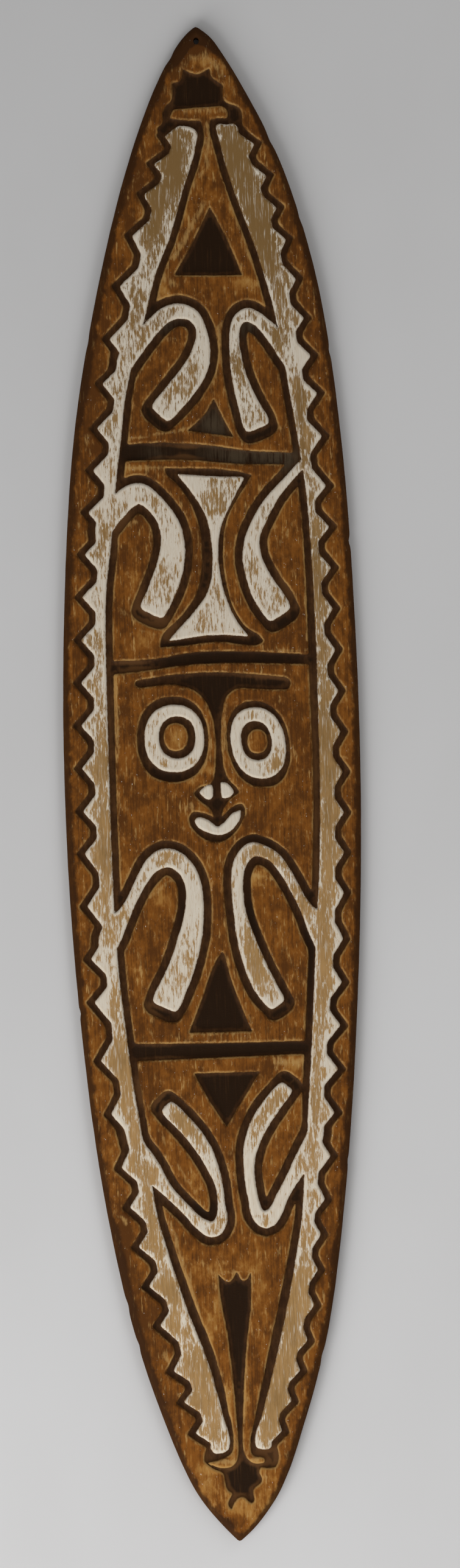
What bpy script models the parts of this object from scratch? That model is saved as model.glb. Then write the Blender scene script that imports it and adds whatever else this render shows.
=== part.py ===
# A carved wooden board, long and leaf-shaped, with a spirit face between two toothed bands.
# It lies on its flat back: X runs across, Y up the board to the hanging hole, +Z out of the carving.
import math

import bmesh
import bpy
import numpy as np
from mathutils import Vector, geometry

# Driving sizes, in metres
LENGTH = 1.200
WIDTH = 0.2344
MIDDLE_THICKNESS = 0.016
EDGE_THICKNESS = 0.0115
CARVING_DEPTH = 0.0026
RIM_WIDTH = 0.0055
RIM_DROP = 0.0035
RIM_ROUNDNESS = 2.2
RIM_STEP = 0.32
BACK_CHAMFER = 0.0025
HOLE_WIDTH = 0.0045
HOLE_HEIGHT = 0.006
HOLE_FROM_TIP = 0.0125
BAND_GROOVE = 0.0058
TOOTH_GROOVE = 0.0055
HOOK_GROOVE = 0.0066

# How finely curves are followed, in metres
CURVE_ERROR = 0.00022
OUTLINE_ERROR = 0.0004
CROWN_SPACING = 0.040
WELD = 0.00006
CLEARANCE = 0.008
MITRE_LIMIT = 0.78
SMOOTH_STEPS = 14

# The drawing is set out on a grid of 1200 steps along the board and 234.4 across it
STEPS_LONG = 1200.0
STEPS_WIDE = 234.4
STEP_Y = LENGTH / STEPS_LONG
STEP_X = WIDTH / STEPS_WIDE

WOOD_COLOUR = (0.165, 0.066, 0.020, 1.0)
WOOD_ROUGHNESS = 0.62

# Edges of the board: step along the board, left edge, right edge
OUTLINE = [(592, -9.3, 10), (578, -19.5, 20), (550, -34.5, 36), (490, -57.4, 63.9),
           (400, -82.1, 89.3), (280, -105.3, 104.8), (130, -117.9, 112.2), (-20, -121.0, 112.8),
           (-170, -115.0, 105.9), (-320, -99.7, 92.3), (-440, -76.2, 73.4), (-530, -46.4, 45.8),
           (-562, -31.5, 32.2), (-588, -11.5, 13)]
TOP_TIP = (0, 600)
BOTTOM_TIP = (0, -600)

# Toothed bands: the smooth inner edge, the two ends, the teeth that were counted and placed, how far
# in from the board's edge the teeth point and how tall they are, and how wide the inner groove is
BANDS = {
    "left_band": {
        "side": -1,
        "inner": [(-1.2, 513), (-5, 496), (-14, 470), (-25, 434), (-37, 405), (-48, 366),
                  (-62, 318), (-67, 285), (-73, 243), (-79, 190), (-84, 150), (-85.3, 100),
                  (-85.3, -40), (-84.5, -105), (-82.5, -145), (-77, -205), (-70.5, -258), (-63, -300),
                  (-58.5, -335), (-51, -365), (-37.5, -410), (-20.3, -459), (-5.6, -520)],
        "top": [(-9, 520), (-2.5, 517)],
        "bottom": [(-6.5, -525.5), (-10, -527.8), (-18, -529), (-21, -524)],
        "tips": {0: 512.7, 1: 490.7, 2: 467, 3: 434.5, 4: 394.8, 5: 353.6, 7: 283.6, 10: 184.2,
                 17: -52.2, 19: -135.5, 20: -169.9, 21: -215.9, 23: -300.8, 27: -426.4, 28: -462.4,
                 30: -512},
        "teeth": [(513, 22.5, 8.5), (450, 19, 10.5), (400, 17.2, 12), (250, 17.7, 11), (170, 14.2, 11.5),
                  (0, 14.3, 10), (-100, 13.4, 11), (-210, 12.5, 12), (-270, 16.8, 10),
                  (-350, 19.4, 10), (-430, 22, 11), (-512, 20.8, 9.5)],
        "groove": [(520, 1.0), (-330, 1.0), (-440, 1.3), (-480, 1.12), (-500, 1.02), (-520, 0.6)],
    },
    "right_band": {
        "side": 1,
        "inner": [(13.6, 519), (17, 504), (24, 477), (36.6, 440), (46, 410), (56, 370), (64, 322),
                  (70, 280), (75.5, 240), (79, 190), (80.2, 100), (81, 0), (79.4, -50), (77, -90),
                  (74.5, -120), (72.4, -152), (69, -200), (64, -262), (59.6, -310), (56.5, -345),
                  (48, -388), (38.2, -435), (23.6, -490), (14.6, -520)],
        "top": [(31, 517.5), (28, 521.5), (22, 520.5), (15, 521.5)],
        "bottom": [(15.2, -524.5), (19.5, -526.3), (25.5, -526.2), (27.6, -524)],
        "tips": {0: 504.5, 3: 428.3, 5: 366, 7: 306.3, 8: 272.5, 9: 233.2, 15: 38.7, 19: -88.8,
                 20: -125, 26: -330.4, 30: -441.3, 33: -512.4},
        "teeth": [(505, 14.6, 8.5), (440, 16.8, 7.4), (350, 16.6, 8.6), (300, 14.5, 10), (265, 15.4, 11),
                  (200, 16, 10), (120, 17.4, 7.6), (0, 14, 7.4), (-120, 13.2, 7), (-220, 13, 10.4),
                  (-300, 14.6, 8.5), (-345, 16.6, 6.3), (-420, 14.5, 6), (-512, 16.2, 6)],
        "groove": [(520, 1.0), (-330, 1.0), (-440, 1.3), (-480, 1.12), (-520, 0.75)],
    },
}
TOOTH_ABOVE = 0.36
TOOTH_BELOW = 0.36

# White hooks, as strokes that leave a band: across, along, half the width
HOOKS = {
    "upper_left": [(-66.5, 326, 4.5), (-60.5, 340, 7.5), (-52, 350.5, 6.9), (-43.5, 359.5, 6.4),
                   (-36, 367.3, 6), (-27.7, 372.6, 6), (-18.7, 374.3, 5.8), (-9, 370.5, 4.8),
                   (-3.3, 362, 3.8), (-2, 353, 4.8), (-2.8, 343, 7), (-7, 330, 9), (-17, 315.5, 10),
                   (-28, 303, 9.8), (-36, 294.5, 9)],
    "upper_right": [(71, 326, 5), (65, 337, 6.5), (58, 348, 6), (51, 357.5, 5.8), (42.5, 365.5, 5),
                    (34, 370, 5.2), (27, 366, 4.2), (23.8, 357, 3.6), (23.7, 345, 3.9), (24.6, 330, 5),
                    (27.8, 315, 6.3), (32.6, 300, 8), (36.5, 289, 9.2), (39.2, 282, 9.8)],
    "middle_left": [(-86.5, 190, 3.5), (-83.5, 205, 6.8), (-75, 218, 8.2), (-64.5, 228, 8.4),
                    (-55, 231, 8.2), (-46.7, 226, 7.2), (-39.8, 218.6, 7), (-33.6, 209, 7.6),
                    (-30.5, 198.7, 8.5), (-30.1, 185, 9.7), (-33.2, 170.5, 10.7), (-38.5, 156, 10.8),
                    (-47.5, 138, 9.8)],
    "middle_right": [(80, 253, 4), (72.5, 249.3, 3.2), (65, 241.5, 2.8), (53, 228.7, 3.5),
                     (46.8, 220.5, 4.4), (41.5, 212, 4.9), (37.2, 203, 5.1), (33.2, 194, 5.4),
                     (32.3, 179, 7.2), (35.3, 166.5, 8.8), (40.8, 153, 10.3), (48, 141, 11.2),
                     (52.5, 133.8, 10)],
    "lower_left": [(-92, -131, 6), (-88, -118, 8.6), (-82, -107.5, 7.4), (-75.5, -99, 4.7),
                   (-70, -88.8, 3.9), (-64, -77.5, 4.3), (-58, -69, 5.2), (-51, -60.5, 6.6),
                   (-42.5, -57, 7.3), (-34, -59.5, 7), (-26, -67.5, 6.4), (-21.8, -78, 6.2),
                   (-20.7, -90, 6.6), (-21.8, -104, 7.6), (-25.5, -122, 9.2), (-33, -145, 10),
                   (-39.5, -159, 10.6), (-46.3, -173, 10.3)],
    "lower_right": [(80, -131, 6), (77, -118, 8.4), (72, -107.5, 7.2), (66.8, -100, 4.6),
                    (62, -90.5, 4), (57.3, -81.7, 3.8), (47.5, -64.5, 4.1), (41, -57.7, 4.2),
                    (34, -54, 4.5), (26, -52.3, 5.4), (18, -59, 5.3), (13.7, -70, 4.7),
                    (13.2, -84, 4.4), (14, -98, 4.5), (16.4, -111, 5.5), (20.7, -129.5, 7.4),
                    (27.8, -150, 8.6), (35, -164.5, 8.6), (41.5, -174, 7)],
    "foot_left": [(-78.5, -267, 4.5), (-73, -281.5, 6), (-66, -295, 7.5), (-58.5, -307.5, 7.2),
                  (-51, -317.3, 4.9), (-43, -326.5, 4), (-33, -337, 3.7), (-24, -346.5, 4.6),
                  (-13.5, -351.5, 6.3), (-7.3, -345, 4.6), (-6.6, -332, 2.7), (-8.2, -317, 2.8),
                  (-12, -304, 4.2), (-17.3, -291.5, 5.4), (-25, -279, 6.2), (-36, -265.5, 6.2),
                  (-46.5, -254.5, 5.8)],
    "foot_right": [(72, -267, 4.5), (68.3, -281, 6.5), (62.5, -293, 7.2), (56.5, -302.8, 6.5),
                   (50, -312.8, 5), (44.8, -321.5, 4.6), (40.3, -329.7, 4.7), (35.5, -339.5, 5.3),
                   (28.5, -345, 7), (21.5, -340, 4.8), (18.6, -328, 3.8), (16.4, -314, 3.9),
                   (16, -302, 4), (17.2, -290, 5.2), (21, -278, 6.2), (28, -264.5, 6.9),
                   (38.5, -250.5, 6.7), (46.5, -241.5, 5.8)],
}
HOOK_END = 2.4
HOOK_GROOVE_END = 3.0
HOOK_CORNER = 0.62
HOOK_CAP_POINTS = 7

# Eyes and what is in them: across, along, half the width, half the height, lean to the right
EYES = [
    {"groove": (-34.4, 36.3, 28.2, 34, 0.0), "ring": (-33.1, 36.9, 23.3, 26.5, 0.0),
     "hole": (-30.8, 37.7, 14.5, 16.9, 0.0), "pupil": (-31.9, 38, 9.6, 11.2, 0.0)},
    {"groove": (33.2, 30.7, 24.6, 34.3, -0.10), "ring": (32.9, 31.5, 21.2, 28, -0.10),
     "hole": (31.5, 33.4, 12.2, 15.8, -0.08), "pupil": (32.3, 32.8, 7.9, 9.6, 0.0)},
]
EYE_SQUARENESS = 2.25
EYE_CORNERS = {"groove": 24, "ring": 24, "hole": 16, "pupil": 12}
HOLE_CORNERS = 12

# Sunk shapes, each as runs of points: a run is one smooth edge, and runs meet at corners
POCKETS = {
    "crown": [[(-11.3, 566), (-6, 563), (0, 561), (5, 563), (10, 566)],
              [(10, 566), (11.5, 559), (20.3, 552)], [(20.3, 552), (20.6, 540), (25, 537)],
              [(25, 537), (31, 535), (34.2, 531.5), (34.8, 524)],
              [(34.8, 524), (28, 523.4), (22.6, 525.5)], [(22.6, 525.5), (23.2, 530.5), (19.6, 535.4)],
              [(19.6, 535.4), (0, 534.6), (-19.6, 533.6)], [(-19.6, 533.6), (-22.6, 527)],
              [(-22.6, 527), (-28, 522)], [(-28, 522), (-28.5, 531), (-26, 537.4)],
              [(-26, 537.4), (-21, 541), (-20.3, 555)], [(-20.3, 555), (-14, 556), (-11.3, 566)]],
    "left_shoulder": [[(-22.6, 527), (-10, 524.8), (2.2, 524.2)],
                      [(2.2, 524.2), (4.4, 514), (3.2, 503)], [(3.2, 503), (-4, 503)],
                      [(-4, 503), (-12, 514), (-24, 514)], [(-24, 514), (-31, 514.6)],
                      [(-31, 514.6), (-33.4, 518.5), (-28, 523.5)], [(-28, 523.5), (-22.6, 527)]],
    "right_shoulder": [[(8.7, 525), (16, 526), (22.6, 525.5)], [(22.6, 525.5), (34.8, 526)],
                       [(34.8, 526), (35, 520), (39.5, 514)], [(39.5, 514), (34, 511)],
                       [(34, 511), (14, 511)], [(14, 511), (9.4, 511), (8.7, 525)]],
    "great_wedge": [[(7, 456.5), (-5, 433), (-22.5, 402.5)], [(-22.5, 402.5), (5, 401.4), (31.4, 401)],
                    [(31.4, 401), (19.5, 431), (7, 456.5)]],
    "small_wedge": [[(6, 304.5), (-3, 291), (-16, 279.5)], [(-16, 279.5), (2, 276.5), (20.6, 273.5)],
                    [(20.6, 273.5), (12, 290), (6, 304.5)]],
    "upper_bar": [[(-70, 270), (-40, 271), (-6.5, 268.6), (34, 262.4), (70, 260)],
                  [(70, 260), (72, 250.6)], [(72, 250.6), (24.4, 252), (-18, 256.4), (-71, 257)],
                  [(-71, 257), (-70, 270)]],
    "waist": [[(-35, 250.7), (-8, 249), (16, 247.6), (34.6, 243.5)],
              [(34.6, 243.5), (24.4, 228), (13.8, 210), (9.8, 184), (11, 161), (17, 138), (26, 123.6),
               (36.6, 116.4), (40, 112)],
              [(40, 112), (35, 108.8), (1.6, 112), (-21, 109.9), (-42.6, 109)],
              [(-42.6, 109), (-40, 119), (-27, 131.5), (-13.5, 149), (-8, 170), (-8.3, 200),
               (-14, 220), (-24, 236), (-33.5, 245)], [(-33.5, 245), (-35, 250.7)]],
    "middle_bar": [[(-80, 99.4), (-47, 100.4), (-20, 104.4), (8, 105), (41, 103.2), (76, 100.4)],
                   [(76, 100.4), (76, 92.4)],
                   [(76, 92.4), (41, 94), (3, 95.2), (-30, 93.6), (-47, 91.7), (-82, 88.6)],
                   [(-82, 88.6), (-80, 99.4)]],
    "brow_and_nose": [[(-61.8, 83.6), (-35, 87.3), (0, 88.5), (30, 86.2), (56, 83)],
                      [(56, 83), (60, 79.4), (57.7, 72.8)],
                      [(57.7, 72.8), (35, 73.8), (17, 74.6), (9.3, 69), (5.2, 54), (4.1, 24),
                       (8, 5), (15.4, -3.6), (17.6, -7)],
                      [(17.6, -7), (10, -12), (5.2, -18), (1.4, -29)], [(1.4, -29), (-2.6, -29)],
                      [(-2.6, -29), (-6.6, -19.5), (-12, -15), (-19.9, -7)],
                      [(-19.9, -7), (-14, -2), (-5, 1), (-2, 9), (-0.9, 30), (-2, 49), (-6.5, 63),
                       (-14.6, 72.8), (-31, 79), (-59, 77.4)],
                      [(-59, 77.4), (-63.5, 80), (-61.8, 83.6)]],
    "mouth": [[(-19.9, -21), (-10, -23), (0, -28.5)], [(0, -28.5), (8, -20.4), (14, -16.6), (19, -15.6)],
              [(19, -15.6), (21.4, -21), (17, -33), (6.5, -43.8), (-3, -46), (-14, -41.6), (-22.5, -32),
               (-23.4, -25.4), (-19.9, -21)]],
    "lower_wedge": [[(-1, -132.2), (-8, -144.4), (-17, -168), (-28.5, -195.8)],
                    [(-28.5, -195.8), (21.9, -196.2)], [(21.9, -196.2), (9, -163), (1, -132.2)],
                    [(1, -132.2), (-1, -132.2)]],
    "lower_bar": [[(-78, -203), (-30, -204), (66, -204.6)], [(66, -204.6), (66, -215)],
                  [(66, -215), (0, -216), (-76, -217.2)], [(-76, -217.2), (-78, -203)]],
    "hanging_wedge": [[(-25.4, -227.7), (27.2, -227.7)], [(27.2, -227.7), (14, -248), (-0.8, -271.2)],
                      [(-0.8, -271.2), (-9, -257.5), (-17, -244.3), (-25.4, -227.7)]],
    "spine": [[(-10.9, -386.6), (-7, -391), (-2.6, -393.4), (4, -385)],
              [(4, -385), (8.6, -393), (12, -391), (15.2, -385.6)],
              [(15.2, -385.6), (14.6, -409), (9.4, -450), (5.4, -505), (5, -523), (7.3, -532.5), (13, -537),
               (21.5, -537.2)],
              [(21.5, -537.2), (21.2, -533.5), (12.5, -531.5), (10.5, -525), (11, -517), (15.2, -500)],
              [(15.2, -500), (20, -500)], [(20, -500), (27, -517)],
              [(27, -517), (31.5, -524), (32.6, -536), (29.3, -541.2), (18, -540.5)],
              [(18, -540.5), (17, -545), (19.5, -551), (12.2, -558.5), (13.2, -567)],
              [(13.2, -567), (9.8, -569), (6.5, -566), (2.4, -563.5), (-1.6, -566.5), (-5.8, -573.6)],
              [(-5.8, -573.6), (-8.4, -569), (-4.4, -560.6)],
              [(-4.4, -560.6), (-8.4, -558.2), (-10.4, -551), (-11.4, -545), (-18, -541.4), (-26.4, -535)],
              [(-26.4, -535), (-25.5, -527), (-19, -517)], [(-19, -517), (-11, -500)],
              [(-11, -500), (-4.4, -500)],
              [(-4.4, -500), (-2.4, -517), (-4, -528.5), (-14, -534), (-23.8, -536)],
              [(-23.8, -536), (-14.6, -539.8), (-5, -539.4), (-0.4, -535), (0.8, -520), (-0.9, -485),
               (-4.4, -440), (-9.6, -405), (-10.9, -386.6)]],
}

# White shapes that stand up in the sunk ones, given in the same way
ISLANDS = {
    "hourglass": [[(-25, 245.6), (0, 243), (28, 241.6)],
                  [(28, 241.6), (18, 222.5), (8.4, 203), (5.7, 183), (7.6, 160), (13.8, 138.2),
                   (20, 126.4), (27.5, 116)],
                  [(27.5, 116), (0, 117.8), (-35.5, 114)],
                  [(-35.5, 114), (-18, 133.2), (-6, 147), (-0.2, 162), (1.3, 184), (-1.6, 207),
                   (-9, 223.5), (-25, 245.6)]],
    "left_nostril": [[(-14.8, -6.2), (-11, -2.5), (-7, -0.4), (-4.4, -0.6)],
                     [(-4.4, -0.6), (-3.9, -9.5)], [(-3.9, -9.5), (-7.3, -12.4), (-14.8, -6.2)]],
    "right_nostril": [[(2.2, 1.4), (7.3, 0.4), (12.9, -6.6)], [(12.9, -6.6), (9, -10.5), (3, -11.4)],
                      [(3, -11.4), (2.2, 1.4)]],
    "teeth": [[(-18.2, -26.4), (-13.6, -26), (-6, -31), (-0.8, -34.6)],
              [(-0.8, -34.6), (5, -30), (11, -23.5), (17.8, -20.8)],
              [(17.8, -20.8), (16.6, -28), (11, -35.5), (4, -39.8), (-4, -39.4), (-12, -36.6),
               (-18.4, -30.5), (-18.2, -26.4)]],
}


def smooth_line(points):
    # A smooth open curve through points; values after x and y are carried along it
    rows = [np.array(p, float) for p in points]
    rows = [2 * rows[0] - rows[1]] + rows + [2 * rows[-1] - rows[-2]]
    curve = []
    for i in range(len(points) - 1):
        a, b, c, d = rows[i:i + 4]
        t = [0.0]
        for p, q in ((a, b), (b, c), (c, d)):
            t.append(t[-1] + max(math.hypot(*(q[:2] - p[:2])), 1e-9) ** 0.5)
        for k in range(SMOOTH_STEPS):
            u = t[1] + (t[2] - t[1]) * k / SMOOTH_STEPS
            ab = a + (b - a) * (u - t[0]) / (t[1] - t[0])
            bc = b + (c - b) * (u - t[1]) / (t[2] - t[1])
            cd = c + (d - c) * (u - t[2]) / (t[3] - t[2])
            abc = ab + (bc - ab) * (u - t[0]) / (t[2] - t[0])
            bcd = bc + (cd - bc) * (u - t[1]) / (t[3] - t[1])
            curve.append(abc + (bcd - abc) * (u - t[1]) / (t[2] - t[1]))
    curve.append(rows[-2])
    return curve


def thinned(points, error):
    # Drops the points that lie within the error of the line between their neighbours
    if len(points) < 3:
        return points
    start, end = points[0], points[-1]
    chord = end - start
    span = np.hypot(*chord[:2])
    away = []
    for p in points[1:-1]:
        to_point = p - start
        if span < 1e-9:
            away.append(np.hypot(*to_point[:2]))
            continue
        along = min(max(np.dot(to_point[:2], chord[:2]) / span ** 2, 0.0), 1.0)
        gap = to_point - chord * along
        away.append(max(np.hypot(*gap[:2]), abs(gap[2]) if len(gap) > 2 else 0.0))
    worst = int(np.argmax(away))
    if away[worst] <= error:
        return [start, end]
    split = worst + 1
    return thinned(points[:split + 1], error)[:-1] + thinned(points[split:], error)


def board_edges():
    # The outline of the whole board, in steps, clockwise from the top tip
    right = [TOP_TIP] + [(r, y) for y, l, r in OUTLINE] + [BOTTOM_TIP]
    left = [BOTTOM_TIP] + [(l, y) for y, l, r in reversed(OUTLINE)] + [TOP_TIP]
    return smooth_line(right), smooth_line(left)


RIGHT_EDGE, LEFT_EDGE = board_edges()
EDGE_LOWEST = min(p[0] for p in LEFT_EDGE)
EDGE_HIGHEST = max(p[0] for p in RIGHT_EDGE)
MIDDLE_X = (EDGE_LOWEST + EDGE_HIGHEST) / 2
MIDDLE_Y = 0.0


def placed(point):
    # From steps of the drawing to metres on the board; a third value is a width
    x = (point[0] - MIDDLE_X) * STEP_X
    y = (point[1] - MIDDLE_Y) * STEP_Y
    return np.array([x, y] + [w * STEP_X for w in point[2:]])


def edge_at(side, y):
    # Where the board's edge is at a step along it
    edge = RIGHT_EDGE if side > 0 else LEFT_EDGE
    ys = np.array([p[1] for p in edge])
    xs = np.array([p[0] for p in edge])
    order = np.argsort(ys)
    return float(np.interp(y, ys[order], xs[order]))


def outline_of(runs, error=CURVE_ERROR):
    # A closed outline in metres from runs of points in steps
    points = []
    for run in runs:
        line = smooth_line(run) if len(run) > 2 else run
        points += thinned([placed(p) for p in line], error)[:-1]
    return [Vector(p[:2]) for p in points]


def oval(eye, part):
    # One ring of an eye: a slightly squared oval whose top leans to the right by a share of its height
    across, along, half_width, half_height, lean = eye[part]
    count = EYE_CORNERS[part]
    points = []
    for i in range(count):
        angle = 2 * math.pi * i / count
        c, s = math.cos(angle), math.sin(angle)
        x = math.copysign(abs(c) ** (2 / EYE_SQUARENESS), c) * half_width
        y = math.copysign(abs(s) ** (2 / EYE_SQUARENESS), s) * half_height
        points.append(Vector(placed((across + x + y * lean, along + y))[:2]))
    return points


def stroke(centre, extra):
    # A stroke with a rounded end along a centre line of (x, y, half width) in metres
    ends = len(centre) - 1
    left, right = [], []
    for i, p in enumerate(centre):
        along = Vector((centre[min(i + 1, ends)] - centre[max(i - 1, 0)])[:2]).normalized()
        across = Vector((-along.y, along.x)) * (p[2] + extra)
        left.append(Vector(p[:2]) + across)
        right.append(Vector(p[:2]) - across)
    tip = centre[-1]
    cap = []
    reach = HOOK_END * STEP_X + extra + (HOOK_GROOVE_END * STEP_X if extra else 0)
    for step in range(1, HOOK_CAP_POINTS + 1):
        angle = math.pi * (0.5 - step / (HOOK_CAP_POINTS + 1))
        out = math.cos(angle) ** HOOK_CORNER * reach
        side = math.copysign(abs(math.sin(angle)) ** HOOK_CORNER, math.sin(angle)) * (tip[2] + extra)
        cap.append(Vector(tip[:2]) + along * out + Vector((-along.y, along.x)) * side)
    return left, right, cap


def between(rows, place, value=1):
    # A value read from rows that start with their step along the board
    rows = sorted(rows)
    return float(np.interp(place, [r[0] for r in rows], [r[value] for r in rows]))


def toothed_edge(side, known, teeth):
    # The zigzag edge of a band, from the top of the board to its bottom, in steps
    tips = [between(list(known.items()), k) for k in range(max(known) + 1)]
    points = []
    for k, y in enumerate(tips):
        above = tips[k - 1] - y if k else tips[0] - tips[1]
        below = y - tips[k + 1] if k + 1 < len(tips) else tips[-2] - tips[-1]
        for root, height in ((y + TOOTH_ABOVE * above, 1), (y, 0), (y - TOOTH_BELOW * below, 1)):
            reach = between(teeth, root) + height * between(teeth, root, 2)
            points.append(np.array((edge_at(side, root) - side * reach, root)))
    return points


def offset_line(points, distances):
    # A line beside another one, mitred at its corners
    shifted = []
    last = len(points) - 1
    for i, p in enumerate(points):
        before = Vector((p - points[i - 1])[:2]).normalized() if i else None
        after = Vector((points[i + 1] - p)[:2]).normalized() if i < last else None
        before = before or after
        after = after or before
        middle = (before + after).normalized()
        normal = Vector((-middle.y, middle.x))
        reach = distances[i] / max(normal.dot(Vector((-after.y, after.x))), MITRE_LIMIT)
        shifted.append(Vector(p[:2]) + normal * reach)
    return shifted


class Shape:
    # A flat region made of triangles and four-cornered cells, with the lines that bound it
    def __init__(self, name, outlines, cells=None):
        self.name = name
        self.outlines = outlines
        self.cells = cells
        points = [p for line in outlines for p in line]
        self.low = (min(p[0] for p in points), min(p[1] for p in points))
        self.high = (max(p[0] for p in points), max(p[1] for p in points))

    def holds(self, p):
        if not (self.low[0] <= p[0] <= self.high[0] and self.low[1] <= p[1] <= self.high[1]):
            return False
        if self.cells:
            return any(inside(cell, p) for cell in self.cells)
        return inside(self.outlines[0], p)


def inside(polygon, p):
    # Even-odd test of a point in a closed outline
    answer = False
    ax, ay = polygon[-1][0], polygon[-1][1]
    for q in polygon:
        bx, by = q[0], q[1]
        if (ay > p[1]) != (by > p[1]) and p[0] < (bx - ax) * (p[1] - ay) / (by - ay) + ax:
            answer = not answer
        ax, ay = bx, by
    return answer


def ribbon(name, one, other, cap=()):
    # The region between two lines that run beside each other, closed by a cap at their far end
    cells = []
    for i in range(len(one) - 1):
        cells.append([one[i], one[i + 1], other[i]])
        cells.append([other[i], one[i + 1], other[i + 1]])
    outline = list(one) + list(cap) + list(reversed(other))
    if cap:
        cells.append([one[-1]] + list(cap) + [other[-1]])
    return Shape(name, [outline], cells)


def draw_shapes():
    # All the white shapes and all the sunk shapes of the drawing
    white, sunk = [], []
    for name, band in BANDS.items():
        side = band["side"]
        inner = thinned([placed(p) for p in smooth_line(band["inner"])], CURVE_ERROR)
        zigzag = [placed(p) for p in toothed_edge(side, band["tips"], band["teeth"])][::-1]
        ends = [[placed(p) for p in band[end]] for end in ("bottom", "top")]
        white.append(Shape(name, [[Vector(p[:2]) for p in inner + ends[0] + zigzag + ends[1]]]))
        widths = [-side * BAND_GROOVE * between(band["groove"], p[1] / STEP_Y) for p in inner]
        sunk.append(ribbon(name + "_inner_groove", [Vector(p[:2]) for p in inner],
                           offset_line(inner, widths)))
        sunk.append(ribbon(name + "_tooth_groove", [Vector(p[:2]) for p in zigzag],
                           offset_line(zigzag, [-side * TOOTH_GROOVE] * len(zigzag))))
    for name, points in HOOKS.items():
        centre = thinned([placed(p) for p in smooth_line(points)], CURVE_ERROR)
        white.append(ribbon(name + "_hook", *stroke(centre, 0.0)))
        sunk.append(ribbon(name + "_hook_groove", *stroke(centre, HOOK_GROOVE)))
    for name, runs in POCKETS.items():
        sunk.append(Shape(name, [outline_of(runs)]))
    for name, runs in ISLANDS.items():
        white.append(Shape(name, [outline_of(runs)]))
    for eye in EYES:
        sunk.append(Shape("eye_groove", [oval(eye, "groove")]))
    return white, sunk


def eye_parts():
    # Pupil, hole and ring of each eye, from its middle outwards
    return [Shape(part, [oval(eye, part)]) for eye in EYES for part in ("pupil", "hole", "ring")]


def is_cut_away(p, eyes, white, sunk):
    # True where the surface is sunk at a point
    for shape in eyes:
        if shape.holds(p):
            return shape.name == "hole"
    if any(shape.holds(p) for shape in white):
        return False
    return any(shape.holds(p) for shape in sunk)


def board_outline():
    # The outline of the board in metres, clockwise from the top tip
    right = thinned([placed(p) for p in RIGHT_EDGE], OUTLINE_ERROR)
    left = thinned([placed(p) for p in LEFT_EDGE], OUTLINE_ERROR)
    return [Vector(p[:2]) for p in right[:-1] + left[:-1]]


def inset(loop, distance):
    # A closed clockwise loop moved inwards
    count = len(loop)
    moved = []
    for i, p in enumerate(loop):
        before = (p - loop[i - 1]).normalized()
        after = (loop[(i + 1) % count] - p).normalized()
        middle = (before + after).normalized()
        normal = Vector((middle.y, -middle.x))
        reach = distance / max(normal.dot(Vector((after.y, -after.x))), MITRE_LIMIT)
        moved.append(p + normal * reach)
    return moved


def hanging_hole():
    # The oval hole near the top tip
    centre_y = placed(TOP_TIP)[1] - HOLE_FROM_TIP
    centre_x = placed(TOP_TIP)[0]
    points = []
    for i in range(HOLE_CORNERS):
        angle = 2 * math.pi * i / HOLE_CORNERS
        points.append(Vector((centre_x + HOLE_WIDTH / 2 * math.cos(angle),
                              centre_y + HOLE_HEIGHT / 2 * math.sin(angle))))
    return points


def crown(p):
    # Height of the uncut face: thickest along the middle, thinner at the sides and the tips
    across = 1 - min(abs(p[0]) / (WIDTH / 2), 1) ** 2
    along = 1 - min(abs(p[1]) / (LENGTH / 2), 1) ** 4
    return EDGE_THICKNESS + (MIDDLE_THICKNESS - EDGE_THICKNESS) * across * along


def distance_to(loops, p):
    # How far a point is from the nearest of many lines
    best = 1.0
    for loop in loops:
        for q in loop:
            best = min(best, math.hypot(q[0] - p[0], q[1] - p[1]))
    return best


def crown_points(outline, loops):
    # A loose grid of points that keeps the broad faces curved
    points = []
    rows = int(LENGTH / CROWN_SPACING)
    columns = int(WIDTH / CROWN_SPACING) + 1
    for j in range(-rows // 2, rows // 2 + 1):
        for i in range(-columns // 2, columns // 2 + 2):
            p = Vector(((i + 0.5 * (j % 2)) * CROWN_SPACING, j * CROWN_SPACING * math.sqrt(0.75)))
            if inside(outline, p) and distance_to(loops, p) > CLEARANCE:
                points.append(p)
    return points


def plan(outline, hole):
    # The whole drawing as flat triangles that follow every line, each marked cut away or not
    white, sunk = draw_shapes()
    eyes = eye_parts()
    loops = [outline, inset(outline, RIM_WIDTH * RIM_STEP), inset(outline, RIM_WIDTH), hole]
    for shape in white + sunk + eyes:
        loops += shape.outlines
    points, edges = [], []
    for loop in loops:
        first = len(points)
        points += [Vector(p[:2]) for p in loop]
        edges += [(first + k, first + (k + 1) % len(loop)) for k in range(len(loop))]
    points += crown_points(outline, loops)
    verts, _, faces, *_ = geometry.delaunay_2d_cdt(points, edges, [], 0, WELD)
    kept = []
    for face in faces:
        middle = sum((verts[i] for i in face), Vector((0, 0))) / len(face)
        if inside(outline, middle) and not inside(hole, middle):
            kept.append((face, is_cut_away(middle, eyes, white, sunk)))
    return verts, kept


def rim_fall(p, outline):
    # How far the face falls to its edge
    nearest = 1.0
    for i, a in enumerate(outline):
        b = outline[i - 1]
        hit, share = geometry.intersect_point_line(p, a, b)
        share = min(max(share, 0), 1)
        nearest = min(nearest, (p - (a + (b - a) * share)).to_2d().length)
    inward = min(nearest / RIM_WIDTH, 1)
    return RIM_DROP * (1 - inward) ** RIM_ROUNDNESS


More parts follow.
